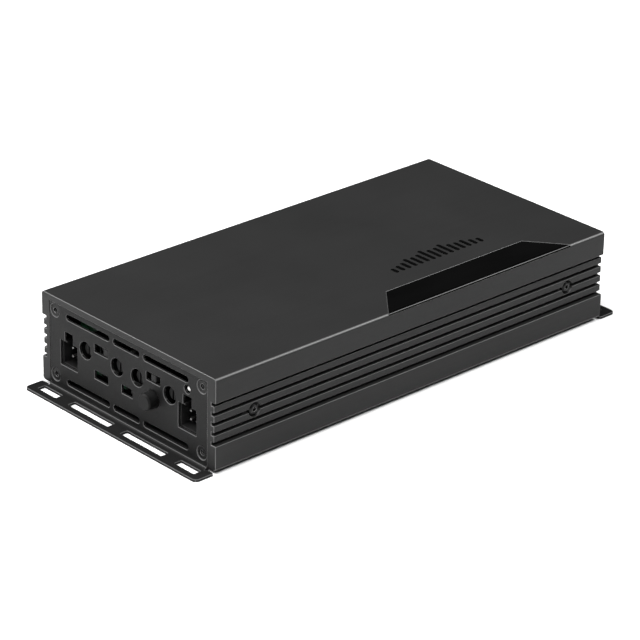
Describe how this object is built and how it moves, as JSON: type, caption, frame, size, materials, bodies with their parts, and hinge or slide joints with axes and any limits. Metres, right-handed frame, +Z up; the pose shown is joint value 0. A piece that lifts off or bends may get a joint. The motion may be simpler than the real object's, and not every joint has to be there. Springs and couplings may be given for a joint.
{
  "type": "car amplifier",
  "caption": "Compact car audio amplifier: finned black aluminium tube, folded end panels with slotted feet, recessed trimmers, slide switches, push button and plug sockets.",
  "frame": {"origin": "centre of the mounting plane, at the underside of the feet", "axes": "+Y along the length with the control panel at -Y, +X across with the gloss inlay at +X, +Z up"},
  "size_m": [0.1186, 0.262, 0.0455],
  "materials": {
    "anodised_tube": "satin",
    "coated_sheet": "satin",
    "gloss_inlay": "gloss",
    "black_steel": "satin",
    "plated_steel": "satin",
    "plain_aluminium": "satin",
    "circuit_board": "satin",
    "black_nylon": "matte",
    "moulded_case": "matte",
    "button_black": "satin",
    "grey_slider": "satin",
    "grey_rotor": "satin",
    "white_lens": "gloss",
    "tinned_brass": "satin",
    "copper_wire": "satin",
    "ferrite": "matte",
    "capacitor_sleeve": "satin",
    "silicone_pad": "matte",
    "fuse_plastic": "gloss",
    "spring_steel": "satin"
  },
  "bodies": {
    "case": {"housing_tube": "anodised_tube", "accent_inlay": "gloss_inlay", "control_panel": "coated_sheet", "terminal_panel": "coated_sheet", "control_panel_screws": "black_steel", "terminal_panel_screws": "black_steel", "heat_bar_screws": "black_steel", "left_heat_bar": "plain_aluminium", "right_heat_bar": "plain_aluminium", "supply_transistors": "moulded_case", "output_transistors": "moulded_case", "insulating_pads": "silicone_pad", "transistor_screws": "plated_steel", "main_board": "circuit_board", "control_board": "circuit_board", "input_capacitors": "capacitor_sleeve", "rail_capacitors": "capacitor_sleeve", "signal_capacitors": "capacitor_sleeve", "transformer_core": "ferrite", "transformer_windings": "copper_wire", "choke_cores": "ferrite", "choke_windings": "copper_wire", "control_chips": "moulded_case", "panel_standoffs": "plated_steel", "control_board_screws": "plated_steel", "board_link_header": "black_nylon", "board_link_pins": "tinned_brass", "trimmer_bodies": "black_nylon", "slide_switch_bodies": "black_nylon", "push_switch_body": "black_nylon", "push_spring": "spring_steel", "left_header_shroud": "black_nylon", "right_header_shroud": "black_nylon", "left_header_pins": "tinned_brass", "right_header_pins": "tinned_brass", "status_light": "white_lens", "status_light_spacer": "black_nylon", "status_light_leads": "tinned_brass", "power_header_shroud": "black_nylon", "speaker_header_shroud": "black_nylon", "power_blades": "tinned_brass", "speaker_pins": "tinned_brass", "fuse_holder": "black_nylon", "blade_fuse": "fuse_plastic"},
    "front_gain_trimmer": {"front_gain_rotor": "grey_rotor"},
    "front_crossover_trimmer": {"front_crossover_rotor": "grey_rotor"},
    "rear_crossover_trimmer": {"rear_crossover_rotor": "grey_rotor"},
    "rear_gain_trimmer": {"rear_gain_rotor": "grey_rotor"},
    "front_filter_switch": {"front_filter_slider": "grey_slider"},
    "rear_filter_switch": {"rear_filter_slider": "grey_slider"},
    "input_range_switch": {"input_range_slider": "grey_slider"},
    "input_mode_switch": {"input_mode_slider": "grey_slider"},
    "push_button": {"push_plunger": "grey_slider", "push_button_cap": "button_black"}
  },
  "joints": [
    {"name": "front_gain_turn", "type": "hinge", "parent": "case", "child": "front_gain_trimmer", "pos_m": [-0.0288, -0.115, 0.0266], "axis": [0, -1, 0], "range_deg": [-140, 140]},
    {"name": "front_crossover_turn", "type": "hinge", "parent": "case", "child": "front_crossover_trimmer", "pos_m": [-0.0069, -0.115, 0.0266], "axis": [0, -1, 0], "range_deg": [-140, 140]},
    {"name": "rear_crossover_turn", "type": "hinge", "parent": "case", "child": "rear_crossover_trimmer", "pos_m": [0.0069, -0.115, 0.0266], "axis": [0, -1, 0], "range_deg": [-140, 140]},
    {"name": "rear_gain_turn", "type": "hinge", "parent": "case", "child": "rear_gain_trimmer", "pos_m": [0.0288, -0.115, 0.0266], "axis": [0, -1, 0], "range_deg": [-140, 140]},
    {"name": "front_filter_slide", "type": "slide", "parent": "case", "child": "front_filter_switch", "axis": [1, 0, 0], "range_m": [-0.0058, 0]},
    {"name": "rear_filter_slide", "type": "slide", "parent": "case", "child": "rear_filter_switch", "axis": [1, 0, 0], "range_m": [-0.0029, 0.0029]},
    {"name": "input_range_slide", "type": "slide", "parent": "case", "child": "input_range_switch", "axis": [1, 0, 0], "range_m": [-0.0058, 0]},
    {"name": "input_mode_slide", "type": "slide", "parent": "case", "child": "input_mode_switch", "axis": [1, 0, 0], "range_m": [-0.0038, 0]},
    {"name": "push_button_press", "type": "slide", "parent": "case", "child": "push_button", "axis": [0, 1, 0], "range_m": [0, 0.002], "stiffness_N_per_m": 1000, "deforming": ["push_spring"]}
  ]
}
